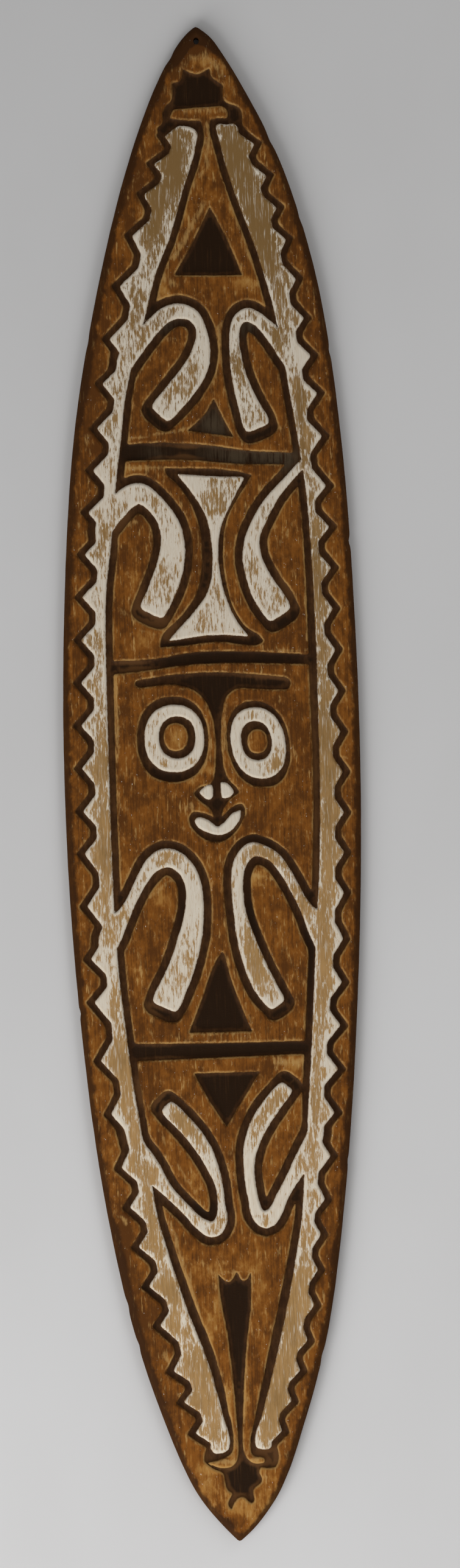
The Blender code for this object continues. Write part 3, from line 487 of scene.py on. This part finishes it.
# Wear, by place: across from the tips' line, along, half width, half height in mm, and strength
wear = {
    # paint that held (+) or wore off (-)
    "cover": [
        # right band, from the top down
        (26, 495, 16, 32, -1.2), (46, 435, 16, 38, -1.0), (58, 380, 8, 14, 0.1), (60, 352, 6, 18, -0.5),
        (75, 336, 8, 16, 1.0), (74, 298, 7, 30, -0.8), (82, 285, 5, 34, 0.5), (77, 258, 8, 16, -0.5),
        (86, 232, 6, 12, 0.4), (82, 165, 10, 52, -0.9), (86, 20, 12, 84, -1.0), (92, 72, 4, 60, 0.25),
        (82, -125, 6, 46, -0.5), (91, -130, 6, 34, 0.5), (72, -200, 5, 54, -0.5), (80, -218, 5, 24, 0.8),
        (66, -262, 5, 20, -0.2), (76, -290, 5, 18, 0.3), (62, -335, 9, 28, 0.0), (48, -415, 15, 40, -0.9),
        (30, -485, 15, 34, -1.2),
        # left band
        (-22, 488, 14, 32, -1.1), (-10, 498, 4, 20, 0.35), (-38, 452, 10, 26, -0.9),
        (-27, 448, 5, 30, 0.5), (-40, 416, 8, 16, 0.1), (-57, 385, 12, 18, 0.0), (-66, 345, 12, 26, 0.2),
        (-78, 280, 7, 18, 0.1), (-86, 244, 7, 26, 0.4), (-88, 160, 10, 44, 0.2), (-99, 118, 8, 16, -0.3),
        (-91, 60, 9, 40, 0.0), (-90, 20, 9, 20, -0.5), (-89, -45, 6, 48, -0.8), (-98, -60, 5, 14, -0.3),
        (-96, -160, 8, 24, 0.9), (-84, -175, 6, 14, -0.4), (-84, -222, 14, 26, -0.8),
        (-87, -266, 6, 12, 0.6), (-72, -285, 8, 30, -0.3), (-62, -335, 6, 40, -0.3),
        (-50, -397, 14, 12, -0.6), (-46, -425, 8, 30, -0.5), (-58, -372, 8, 24, -0.3),
        (-45, -425, 8, 14, 0.2), (-28, -480, 20, 38, -0.7),
        # hooks, from the top down
        (-42, 362, 10, 12, 0.0), (-12, 372, 14, 9, 0.7), (0, 340, 6, 24, 0.7), (-20, 328, 8, 12, 0.1),
        (-33, 297, 8, 6, 0.5), (44, 366, 9, 8, 0.2), (25, 330, 10, 18, -0.4), (31, 302, 8, 12, 0.4),
        (38, 272, 6, 10, 0.4), (-64, 230, 20, 14, 0.6), (-30, 196, 10, 22, 0.8), (-36, 160, 12, 12, 0.0),
        (-48, 136, 8, 7, 1.1), (56, 236, 16, 12, 0.4), (34, 200, 5, 22, 0.6), (40, 165, 10, 20, 0.4),
        (50, 128, 8, 8, 0.6), (-62, -62, 14, 10, 0.5), (-40, -58, 14, 9, -0.1), (-20, -95, 9, 30, 0.7),
        (-30, -135, 10, 16, 0.2), (-40, -160, 12, 14, 0.3), (-48, -178, 10, 7, 0.9),
        (15, -85, 4, 28, 0.6), (36, -58, 16, 10, -0.6), (62, -95, 10, 26, -0.7), (27, -135, 10, 26, -0.6),
        (40, -176, 9, 6, 0.5), (-36, -262, 12, 10, -0.4), (-25, -275, 10, 16, -0.4),
        (-14, -305, 7, 24, 0.1), (-24, -352, 10, 6, 0.4), (42, -252, 12, 10, -0.4),
        (33, -283, 6, 12, -0.2), (17, -312, 5, 26, 0.5), (40, -335, 14, 14, 0.6),
        # hourglass, eyes, nostrils, teeth
        (-14, 236, 10, 9, 0.8), (8, 222, 7, 10, -0.1), (2, 195, 4, 18, 0.6), (-8, 140, 7, 9, 0.2),
        (10, 128, 10, 14, 0.8), (-20, 118, 8, 5, 0.6), (-36, 37, 26, 28, 0.6), (32, 32, 24, 30, 0.45),
        (47, 14, 6, 6, -0.7), (-10, -7, 7, 8, 1.6), (7, -5, 8, 8, 1.6), (0, -32, 22, 12, 1.6),
    ],
    # brown rubbed pale (+) or left dark (-)
    "tone": [
        (0, 597, 28, 13, -5.0), (-15, 580, 8, 9, -2.5), (-17, 572, 8, 10, -0.8), (5, 571, 15, 6, 0.7),
        (-32, 550, 7, 24, -0.6), (-54, 495, 7, 50, -0.5), (-78, 420, 6, 50, -0.3), (4, 531, 16, 4, 0.3),
        (4, 486, 8, 24, 0.3), (-12, 455, 4, 14, 0.5), (24, 450, 3, 20, 0.6), (-32, 390, 7, 10, 0.75),
        (36, 392, 10, 8, 0.35), (-48, 452, 5, 7, 0.5), (-78, 350, 4, 14, 0.4), (4, 340, 6, 50, 0.15),
        (-62, 250, 12, 6, 0.55), (50, 258, 16, 6, 0.3), (-40, 262, 5, 6, 0.4), (12, 262, 4, 8, 0.5),
        (-60, 170, 8, 12, 0.35), (58, 200, 8, 26, 0.25), (-55, 115, 12, 7, 0.35), (-78, 80, 3, 26, 0.5),
        (-15, 12, 12, 5, 0.6), (-22, 2, 8, 4, 0.4), (-52, 10, 6, 10, 0.3), (-32, 38, 8, 10, 0.45),
        (32, 33, 7, 9, 0.3), (54, -5, 6, 14, 0.35), (-75, -60, 5, 12, 0.3), (-50, -88, 9, 10, 0.5),
        (30, -75, 12, 7, 0.7), (44, -110, 8, 16, 0.25), (-70, -150, 4, 14, 0.35), (-12, -225, 12, 4, 0.3),
        (54, -222, 9, 7, 0.5), (-58, -250, 8, 12, -0.2), (-68, -225, 10, 12, -0.5),
        (-25, -315, 8, 14, 0.3), (-45, -290, 5, 16, 0.3), (20, -400, 14, 34, 0.25),
        (-15, -380, 22, 12, 0.3), (-20, -440, 3, 26, 0.55), (-12, -410, 6, 24, 0.3),
        (8, -480, 3, 50, 0.5), (-5, -490, 3, 40, 0.5), (-18, -541, 14, 4, 0.9), (14, -539, 12, 4, 0.9),
        (-50, -455, 5, 7, 0.6), (-56, -478, 6, 8, 0.3), (0, -574, 18, 12, 0.6), (-22, -555, 12, 12, 0.4),
        (24, -560, 10, 18, 0.3), (-8, -583, 9, 5, -1.3), (-92, 300, 10, 90, -0.45),
        (-108, 60, 6, 90, -0.25), (90, 330, 8, 50, -0.1), (-52, -260, 6, 8, 0.2), (104, 60, 6, 80, 0.1),
        (98, 240, 8, 40, -0.1), (-92, -310, 8, 60, 0.2), (-84, -370, 10, 30, -0.6),
        (-74, -425, 10, 30, -0.7), (-60, -475, 9, 26, -0.6), (-48, -512, 8, 18, -0.3),
        (30, 395, 12, 6, 0.3), (-66, 300, 8, 20, 0.15), (78, -380, 8, 50, -0.2), (-76, 430, 5, 40, -0.2),
        (-28, 560, 6, 12, 0.1), (26, 560, 6, 14, 0.25), (0, 400, 30, 10, 0.1),
    ],
    # grey ash rubbed into the sunk ground
    "ash": [
        (5, 282, 14, 16, 1.0), (25, 257, 26, 9, 1.0), (58, 255, 14, 8, 1.2), (-42, 262, 10, 7, 0.5),
        (35, 360, 9, 9, 0.7), (-30, 364, 14, 8, 0.6),
    ],
    # sunk ground rubbed down to brown (+)
    "ground": [
        (-58, 262, 9, 8, -0.9), (-18, 261, 10, 7, 0.6), (-40, 262, 8, 6, 0.2), (-62, 95, 16, 5, 0.5),
        (-47, -210, 16, 6, 0.4), (-60, -180, 8, 7, 0.5), (-55, -242, 6, 8, 0.6), (-62, -240, 8, 10, 0.9),
        (-85, 40, 4, 200, 0.15), (35, 257, 40, 7, -0.1), (-33, 366, 14, 8, -0.5), (20, -405, 4, 40, 0.1),
        (-66, 350, 5, 12, 0.2), (26, -533, 14, 7, 0.5), (-30, -531, 10, 6, 0.3), (0, -552, 14, 16, 0.3),
        (24, -110, 5, 30, -0.6), (-28, -110, 5, 30, -0.5), (69, -130, 4, 40, -0.5),
        (-20, -336, 7, 7, -0.9), (86, -190, 6, 60, -0.3), (-72, -415, 8, 25, -0.5),
        (62, 125, 10, 8, -0.4), (-25, 108, 16, 4, -0.6), (12, 108, 14, 4, -0.6), (-50, 2, 20, 8, -0.4),
        (-5, 40, 3, 30, -0.4), (10, 98, 60, 6, -0.5), (0, -209, 60, 6, -0.5), (34, 362, 8, 8, -0.4),
        (28, -40, 20, 8, -0.3), (-84, 200, 4, 60, -0.2), (40, 82, 30, 5, 0.2), (-50, 124, 16, 8, 0.8),
        (-64, 150, 7, 22, 0.5), (-68, 195, 8, 36, 0.3), (73, 10, 5, 90, 0.35), (-46, -92, 8, 30, 0.2),
        (58, 150, 6, 30, 0.3),
    ],
}

# Tan strokes where raised brown was rubbed: from, to, half width and strength
strokes = [
    # tip and crest
    (-14, 564, -4, 573, 4, 0.5), (-4, 573, 8, 575, 5, 0.6), (8, 575, 20, 562, 5, 0.65),
    (20, 562, 31, 543, 3, 0.6), (-26, 552, -22, 545, 3, 0.5), (-12, 532, 22, 532, 3, 0.6),
    (7, 520, 6, 488, 4, 0.7), (6, 488, -8, 470, 3, 0.6), (3, 460, -22, 417, 3, 0.9),
    (-8, 470, -31, 410, 2.5, 0.6), (16, 493, 28, 447, 2.5, 0.9), (28, 447, 44, 400, 3, 0.9),
    (44, 400, 50, 380, 3, 0.7), (-34, 402, -24, 396, 5, 0.8), (-18, 404, 22, 402, 1.5, 0.5),
    (-38, 388, -30, 380, 3, 0.6),
    # between and inside the upper hooks
    (12, 362, 9, 330, 2.5, 0.8), (9, 330, 4, 306, 2.5, 0.7), (-1, 372, 6, 368, 4, 0.5),
    (-43, 343, -58, 316, 2, 0.7), (-36, 352, -24, 352, 2.5, 0.6), (-20, 318, -34, 300, 2, 0.5),
    (33, 352, 46, 320, 2, 0.5), (-65, 274, -14, 281, 2, 0.8), (-30, 292, -14, 300, 2.5, 0.6),
    (32, 272, 62, 281, 2.5, 0.8), (52, 292, 60, 275, 2, 0.6), (-68, 252, -34, 250, 2.5, 0.8),
    (26, 254, 60, 252, 2.5, 0.8), (-30, 250, -14, 240, 2, 0.5),
    # around the middle hooks
    (74, 228, 74, 112, 1.8, 0.8), (43, 104, 73, 104, 1.8, 0.7), (-66, 206, -58, 209, 3, 0.7),
    (-76, 198, -70, 203, 2, 0.6), (-62, 172, -56, 182, 2.5, 0.4), (-60, 124, -46, 120, 2, 0.6),
    (-28, 232, -12, 205, 2, 0.5), (-10, 205, -10, 165, 1.8, 0.4), (20, 205, 16, 165, 1.8, 0.4),
    (66, 205, 52, 186, 2.5, 0.5), (-74, 140, -60, 130, 3, 0.4), (60, 100, 20, 101, 1.5, 0.4),
    # face
    (-77, 90, -78, 40, 1.8, 0.8), (-78, 40, -78, -20, 1.8, 0.5), (-70, 94, 60, 98, 1.6, 0.6),
    (-58, 75, -16, 76, 1.6, 0.5), (-8, 62, -4, 24, 1.8, 0.7), (-4, 24, -15, 6, 2, 0.7),
    (8, 62, 5, 24, 1.8, 0.7), (5, 24, 15, 2, 2, 0.6), (-22, -14, -18, -32, 2, 0.8),
    (-18, -32, -8, -42, 2, 0.6), (18, -12, 20, -24, 2, 0.7), (-54, 8, -46, 0, 3, 0.4),
    (46, -4, 58, -12, 3, 0.4), (62, 2, 68, -8, 2, 0.4), (-6, -62, 4, -62, 3, 0.4),
    # lower hooks
    (-56, -88, -36, -73, 2.5, 0.8), (-62, -98, -56, -112, 2.5, 0.5), (-66, -128, -64, -164, 2, 0.6),
    (24, -72, 44, -76, 2.5, 0.8), (30, -90, 40, -112, 2, 0.4), (46, -120, 55, -142, 2.5, 0.5),
    (-6, -135, -20, -186, 1.8, 0.5), (3, -135, 22, -190, 1.8, 0.6), (-27, -197, 20, -197, 1.8, 0.7),
    (-59, -203, 60, -203, 1.5, 0.6), (-50, -180, -60, -188, 2.5, 0.5), (40, -220, 62, -221, 4, 0.9),
    (62, -224, 62, -240, 2.5, 0.7), (-68, -219, -74, -238, 2.5, 0.7), (-60, -217, -30, -216, 1.5, 0.5),
    (-60, -262, -48, -284, 2, 0.6), (-40, -300, -22, -330, 2, 0.7), (28, -286, 20, -326, 2, 0.7),
    (50, -262, 38, -280, 2, 0.6), (3, -282, 0, -310, 2.5, 0.5),
    # lower crest and foot
    (-47, -345, -34, -392, 2.2, 0.9), (-34, -392, -20, -440, 2, 0.8), (-20, -440, -4, -502, 1.8, 0.9),
    (54, -348, 46, -380, 1.8, 0.4), (-24, -376, -14, -388, 2.5, 0.7), (-10, -386, 14, -385, 2, 0.7),
    (-12, -396, -10, -426, 2, 0.7), (15, -402, 14, -420, 1.8, 0.4), (10, -460, 6, -505, 1.8, 0.7),
    (-90, -336, -82, -344, 2.5, 0.8), (-85, -362, -80, -372, 2, 0.5), (-56, -448, -50, -456, 3, 0.8),
    (-66, -426, -62, -440, 2, 0.5), (-46, -480, -36, -488, 2.5, 0.6), (64, -404, 62, -414, 2, 0.7),
    (72, -350, 76, -364, 2, 0.5), (-20, -534, -3, -536, 2.5, 1.0), (8, -536, 23, -531, 2.5, 0.9),
    (38, -528, 44, -536, 3, 0.5), (-34, -545, -22, -560, 3, 0.4), (4, -566, 14, -572, 4, 0.5),
    (50, -480, 42, -500, 2, 0.5),
    # rims
    (-96, 280, -94, 272, 3, 0.7), (-104, 210, -102, 200, 2.5, 0.5), (94, 250, 96, 236, 2.5, 0.5),
    (84, 330, 78, 350, 2, 0.5), (62, 440, 56, 456, 2, 0.6), (46, 492, 38, 508, 2, 0.6),
    (-56, 470, -48, 486, 2, 0.6), (-80, 396, -76, 408, 2.5, 0.5), (108, 90, 108, 60, 2, 0.4),
    (-110, 20, -109, -10, 2, 0.4), (106, -90, 104, -120, 2, 0.4), (-104, -140, -102, -160, 2, 0.4),
]


# How far the stored distances reach, and the height above which the skin counts as the face
reach = {
    "line": 12,
    "paint": 30,
    "rim": 40,
    "faceAbove": 6.5,
}


def patchSum(points, patches):
    total = np.zeros(len(points))
    for x, y, wide, tall, strength in patches:
        across = (points[:, 0] - midLine - x) / wide
        total += strength * np.exp(-across ** 2 - ((points[:, 1] - y) / tall) ** 2)
    return total


def strokeSum(points, lines):
    total = np.zeros(len(points))
    for startX, startY, endX, endY, wide, strength in lines:
        start, run = rows([startX + midLine, startY]), rows([endX - startX, endY - startY])
        share = np.clip(((points - start) * run).sum(1) / (run ** 2).sum(), 0, 1)
        away = np.linalg.norm(points - start - run * share[:, None], axis=1)
        total = np.maximum(total, strength * np.exp(-(away / wide) ** 2))
    return total


def storeValue(name, values):
    layer = boardMesh.attributes.new(name, "FLOAT", "POINT")
    layer.data.foreach_set("value", np.asarray(values, np.float32))


flat = np.zeros(len(boardMesh.vertices) * 3)
boardMesh.vertices.foreach_get("co", flat)
flat = flat.reshape(-1, 3) * 1000
seenFromAbove = flat[:, :2]
onFace = flat[:, 2] > reach["faceAbove"]
cutAway = np.clip(cutField.signed(seenFromAbove, False), -reach["line"], reach["line"])
whiteAway = np.clip(whiteField.signed(seenFromAbove), -reach["line"], reach["paint"])
edgeAway = np.clip(edgeField.distance(seenFromAbove), 0, reach["rim"])
storeValue("lineGap", np.where(onFace, cutAway, reach["line"]))
storeValue("paintGap", np.where(onFace, whiteAway, -reach["line"]))
storeValue("rimGap", np.where(onFace, edgeAway, 0))
for kind, patches in wear.items():
    storeValue(kind, patchSum(seenFromAbove, patches))
storeValue("strokes", np.where(onFace, strokeSum(seenFromAbove, strokes), 0))
print("wear placed")


class Wire:
    # A node's output that Python's own signs work on
    tree = None

    def __init__(self, socket):
        self.socket = socket

    @classmethod
    def make(cls, kind, settings=None, sockets=None, out=0):
        node = cls.tree.nodes.new(kind)
        for name, value in (settings or {}).items():
            setattr(node, name, value)
        for name, value in (sockets or {}).items():
            if isinstance(value, Wire):
                cls.tree.links.new(value.socket, node.inputs[name])
            else:
                node.inputs[name].default_value = value
        return cls(node.outputs[out]) if node.outputs else None

    def calc(self, operation, *others):
        sockets = {0: self}
        sockets.update({i + 1: other for i, other in enumerate(others)})
        return Wire.make("ShaderNodeMath", {"operation": operation}, sockets)

    def __add__(self, other):
        return self.calc("ADD", other)

    __radd__ = __add__

    def __mul__(self, other):
        return self.calc("MULTIPLY", other)

    def __sub__(self, other):
        return self.calc("SUBTRACT", other)

    def __rsub__(self, other):
        return (self * -1) + other

    def most(self, other):
        return self.calc("MAXIMUM", other)

    def fade(self, low, high):
        # 0 below low, 1 above high, smooth between
        return Wire.make("ShaderNodeMapRange", {"interpolation_type": "SMOOTHSTEP"},
                         {0: self, 1: low, 2: high, 3: 0.0, 4: 1.0})


def mixColour(share, first, second):
    return Wire.make("ShaderNodeMix", {"data_type": "RGBA"}, {0: share, 6: first, 7: second}, 2)


def rgb(red, green, blue):
    return (red, green, blue, 1.0)


finish = {
    "fieldDark": rgb(0.075, 0.0258, 0.0050),
    "fieldMid": rgb(0.181, 0.0620, 0.0086),
    "fieldPale": rgb(0.290, 0.135, 0.0300),
    "wornEdge": rgb(0.355, 0.206, 0.0680),
    "groundDeep": rgb(0.0148, 0.0068, 0.0026),
    "grooveDark": rgb(0.026, 0.0105, 0.0036),
    "grooveBrown": rgb(0.070, 0.030, 0.0095),
    "grooveEdge": rgb(0.120, 0.054, 0.0150),
    "rimDark": rgb(0.029, 0.011, 0.0033),
    "ash": rgb(0.050, 0.034, 0.0190),
    "paintWhite": rgb(0.545, 0.490, 0.405),
    "bareWood": rgb(0.330, 0.196, 0.0780),
    "bareDark": rgb(0.175, 0.100, 0.0350),
    "backWood": rgb(0.120, 0.058, 0.022),
}


# How strongly each kind of wear and the dark band along the rim show, and how the surface feels
touch = {
    "grainLines": 0.30,
    "scratches": 0.8,
    "rubbedLips": 0.8,
    "flecks": 0.42,
    "tanStrokes": 0.68,
    "dots": 0.6,
    "darkRim": 0.85,
    "grooveEdges": 0.7,
    "paintGrime": 0.28,
    "paintTraces": 0.30,
    "bareStreaks": 0.32,
    "woodRoughness": 0.66,
    "sheen": 0.04,
    "bumpStrength": 0.55,
    "bumpDepth": 0.00035,   # metres
}


def newCoat(name):
    # An empty material, ready to be wired
    coat = bpy.data.materials.new(name)
    coat.use_nodes = True
    coat.node_tree.nodes.clear()
    Wire.tree = coat.node_tree
    return coat


def grain(across, along, seed, detail=2.0, rough=0.5):
    # Noise stretched along the wood: sizes in mm
    place = Wire.make("ShaderNodeTexCoord", None, None, "Object")
    scaled = Wire.make("ShaderNodeVectorMath", {"operation": "MULTIPLY"},
                       {0: place, 1: (1000 / across, 1000 / along, 1000 / across)})
    shifted = Wire.make("ShaderNodeVectorMath", {"operation": "ADD"},
                        {0: scaled, 1: (seed * 7.3, seed * 3.1, seed)})
    return Wire.make("ShaderNodeTexNoise", {"noise_dimensions": "3D"},
                     {"Vector": shifted, "Scale": 1.0, "Detail": detail, "Roughness": rough})


def stored(name):
    return Wire.make("ShaderNodeAttribute", {"attribute_name": name}, None, "Fac")


def position(axis):
    place = Wire.make("ShaderNodeTexCoord", None, None, "Object")
    return Wire.make("ShaderNodeSeparateXYZ", None, {0: place}, axis)


coat = newCoat("carvedWood")
lineAway, paintAway, rimAway = stored("lineGap"), stored("paintGap"), stored("rimGap")
cover, tone, groundWear = stored("cover"), stored("tone"), stored("ground")
alongBoard, upward = position("Y"), position("Z") * 1000

broad = grain(46, 90, 1, 3, 0.55)
mottle = grain(11, 19, 2, 5, 0.62)
blot = grain(4.2, 7.5, 11, 4, 0.62)
fine = grain(1.3, 34, 3, 3, 0.6)
hair = grain(0.6, 9, 4, 2, 0.5)
flake = grain(1.9, 8, 5, 4, 0.68)
sheet = grain(7, 26, 9, 4, 0.6)
speck = grain(1.5, 2.4, 6, 2, 0.5)
ragged = grain(1.8, 3.2, 7, 3, 0.6)
scratch = grain(2.0, 13, 8, 3, 0.55)
fleck = grain(1.1, 15, 13, 3, 0.55)

# Rubbed brown wood
shade = broad * 0.4 + mottle * 0.9 + blot * 0.8 + fine * 0.8 + tone * 0.45 - 0.2 - alongBoard * 0.08
field = mixColour(shade.fade(1.02, 1.48), finish["fieldDark"], finish["fieldMid"])
field = mixColour((shade + tone * 0.35).fade(1.40, 1.80), field, finish["fieldPale"])
field = mixColour(fine.fade(0.50, 0.72) * touch["grainLines"], field, finish["fieldDark"])
streaks = scratch.fade(0.59, 0.70) * mottle.fade(0.42, 0.58)
field = mixColour(streaks * touch["scratches"], field, finish["wornEdge"])
nearCut = 1 - (lineAway + (ragged - 0.5) * 1.6).fade(0.1, 1.8)
rubbed = (mottle * 0.8 + flake * 0.5 + tone * 0.4).fade(0.54, 0.76)
field = mixColour(nearCut * rubbed * touch["rubbedLips"], field, finish["wornEdge"])
flecks = (flake * 0.6 + blot * 0.5 + tone * 0.10).fade(0.62, 0.72)
field = mixColour(flecks * touch["flecks"], field, finish["wornEdge"])
tanShare = (stored("strokes") * 0.92 + (flake - 0.5) * 1.5 + (scratch - 0.5) * 1.0).fade(0.30, 0.86)
field = mixColour(tanShare * touch["tanStrokes"], field, finish["wornEdge"])
dots = speck.fade(0.72, 0.76)
field = mixColour(dots * touch["dots"], field, finish["paintWhite"])
# Darker band along the rounded rim, a few mm wide, wider where the tone is dark
rimMask = 1 - (rimAway + (mottle - 0.5) * 7.0 + (blot - 0.5) * 4.0 + tone * 3).fade(3.5, 7.0)
field = mixColour(rimMask * touch["darkRim"], field, finish["rimDark"])

# Sunk ground: brown in the narrow grooves, nearly black in the wide hollows
ground = mixColour((blot * 0.6 + mottle * 0.5 + fine * 0.3 + groundWear).fade(0.56, 0.98),
                   finish["grooveDark"], finish["grooveBrown"])
hollowShare = (lineAway * -1 + (mottle - 0.5) * 4 - groundWear * 4).fade(1.4, 3.8)
ground = mixColour(hollowShare * (1 - fine.fade(0.5, 0.75) * 0.35), ground, finish["groundDeep"])
ground = mixColour(stored("ash") * (sheet + fine).fade(0.75, 1.15), ground, finish["ash"])
edgeShare = (lineAway + (ragged - 0.5) * 1.5).fade(-1.0, 0.4)
ground = mixColour(edgeShare * touch["grooveEdges"], ground, finish["grooveEdge"])

# Chalky white, worn through to bare wood in upright flakes, thickest beside the cuts
edgeHold = 1 - paintAway.fade(0.3, 4.2)
hold = cover * 0.28 + edgeHold * 0.15 + (broad - 0.5) * 0.2
worn = (flake * 1.0 + sheet * 0.5 + hair * 0.35 - 0.165 - hold).fade(0.66, 0.80)
worn = worn * (1 - fleck.fade(0.56, 0.72) * 0.5)
ageing = fine * 0.5 + hair * 0.3 + mottle * 0.4 + alongBoard.most(-0.1) * 0.6 - cover * 0.14
bare = mixColour(ageing.fade(0.42, 0.98), finish["bareWood"], finish["bareDark"])
darkStreaks = (grain(2.6, 46, 14, 3, 0.6) * 0.7 + hair * 0.3).fade(0.50, 0.64)
bare = mixColour(darkStreaks * touch["bareStreaks"], bare, finish["bareDark"])
traces = (fleck * 0.7 + hair * 0.3).fade(0.53, 0.68)
bare = mixColour(traces * touch["paintTraces"], bare, finish["paintWhite"])
white = mixColour(hair.fade(0.38, 0.72) * touch["paintGrime"], finish["paintWhite"], finish["bareWood"])
figure = mixColour(worn, white, bare)

isPaint = (paintAway + (ragged - 0.5) * 1.1).fade(-0.45, 0.15)
isSunk = 1 - (lineAway + (ragged - 0.5) * 0.7).fade(-0.45, 0.3)
face = mixColour(isSunk, field, ground)
face = mixColour(isPaint, face, figure)
back = mixColour((broad * 0.5 + fine * 0.5).fade(0.35, 0.65), finish["backWood"], finish["fieldDark"])
base = mixColour(upward.fade(5.2, 8.2), back, face)

chalk = isPaint * (1 - worn)
rough = touch["woodRoughness"] + chalk * 0.2 - isSunk * 0.1 * (1 - isPaint) + (mottle - 0.5) * 0.2
chiselMarks = grain(3, 1.4, 10, 2, 0.5)
relief = fine * 0.35 + hair * 0.15 + mottle * 0.2 + chalk * 0.25 + isSunk * chiselMarks * 0.6
bump = Wire.make("ShaderNodeBump", None,
                 {"Strength": touch["bumpStrength"], "Distance": touch["bumpDepth"], "Height": relief})
shader = Wire.make("ShaderNodeBsdfPrincipled", None,
                   {"Base Color": base, "Roughness": rough, "Normal": bump,
                    "Specular IOR Level": touch["sheen"]})
Wire.make("ShaderNodeOutputMaterial", None, {"Surface": shader})
boardMesh.materials.append(coat)
print("finish made")

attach(dressedBoard, "root")
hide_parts("carved_board")

# Pale floor under the board, and soft light: metres and watts
studio = {
    "floorSize": 80,
    "floorDrop": 0.0002,
    "floorDull": rgb(0.493, 0.489, 0.488),
    "floorPale": rgb(0.507, 0.504, 0.504),
    "floorRoughness": 0.9,
    "floorSheen": 0.2,
    # place, where it aims, size and power
    "softBoxes": {
        "bigSoftBox": ((-1.20, -1.75, 1.45), (0, -0.15, 0), 1.9, 61.0),
        "fillBox": ((0.95, 1.0, 1.2), (0, 0.3, 0), 1.0, 4.5),
        "lowFillBox": ((0.95, -1.25, 1.3), (0.1, -0.5, 0), 1.0, 8.0),
    },
    "skyColour": rgb(1.0, 1.0, 1.0),
    "skyStrength": 0.34,
}

bpy.ops.object.select_all(action="DESELECT")
bpy.ops.mesh.primitive_plane_add(size=studio["floorSize"], location=(0, 0, -studio["floorDrop"]))
floor = bpy.context.active_object
floor.name = "paleFloor"
paper = newCoat("palePaper")
cloud = grain(160, 240, 12, 3, 0.5)
paperColour = mixColour(cloud.fade(0.3, 0.7), studio["floorDull"], studio["floorPale"])
paperShader = Wire.make("ShaderNodeBsdfPrincipled", None,
                        {"Base Color": paperColour, "Roughness": studio["floorRoughness"],
                         "Specular IOR Level": studio["floorSheen"]})
Wire.make("ShaderNodeOutputMaterial", None, {"Surface": paperShader})
floor.data.materials.append(paper)

for name, (place, target, size, power) in studio["softBoxes"].items():
    bpy.ops.object.light_add(type="AREA", location=place)
    lamp = bpy.context.active_object
    lamp.name = name
    lamp.data.size = size
    lamp.data.energy = power
    lamp.rotation_euler = (Vector(target) - Vector(place)).to_track_quat("-Z", "Y").to_euler()
sky = bpy.data.worlds.new("studioAir")
sky.use_nodes = True
air = sky.node_tree.nodes["Background"]
air.inputs["Color"].default_value = studio["skyColour"]
air.inputs["Strength"].default_value = studio["skyStrength"]
bpy.context.scene.world = sky
print("studio lit")

# Camera straight above, turned so that the board leans a little left as in the photograph
view = {
    "lens": 100.0,
    "sensor": 36.0,
    "pictureHeight": 2576.0,    # of the photograph, in its pixels, as are the next two sizes
    "boardPixels": 2494.0,
    "boardLeftOfMiddle": 20.2,
    "boardLength": 1.2,
    "leanDegrees": 1.668,
    "focusHeight": 0.010,
    "farthest": 50,
}
metresPerPixel = view["boardLength"] / view["boardPixels"]
lean = math.radians(view["leanDegrees"])
distance = metresPerPixel * view["pictureHeight"] * view["lens"] / view["sensor"]
offset = view["boardLeftOfMiddle"] * metresPerPixel
bpy.ops.object.camera_add(location=(offset * math.cos(lean) + midLine / 1000, -offset * math.sin(lean),
                                    distance + view["focusHeight"]), rotation=(0, 0, -lean))
camera = bpy.context.active_object
camera.data.lens = view["lens"]
camera.data.sensor_width = view["sensor"]
camera.data.dof.use_dof = False
camera.data.clip_end = view["farthest"]
bpy.context.scene.camera = camera
bpy.context.scene.view_settings.view_transform = "Standard"
bpy.context.scene.view_settings.look = "None"

print("scene ready")
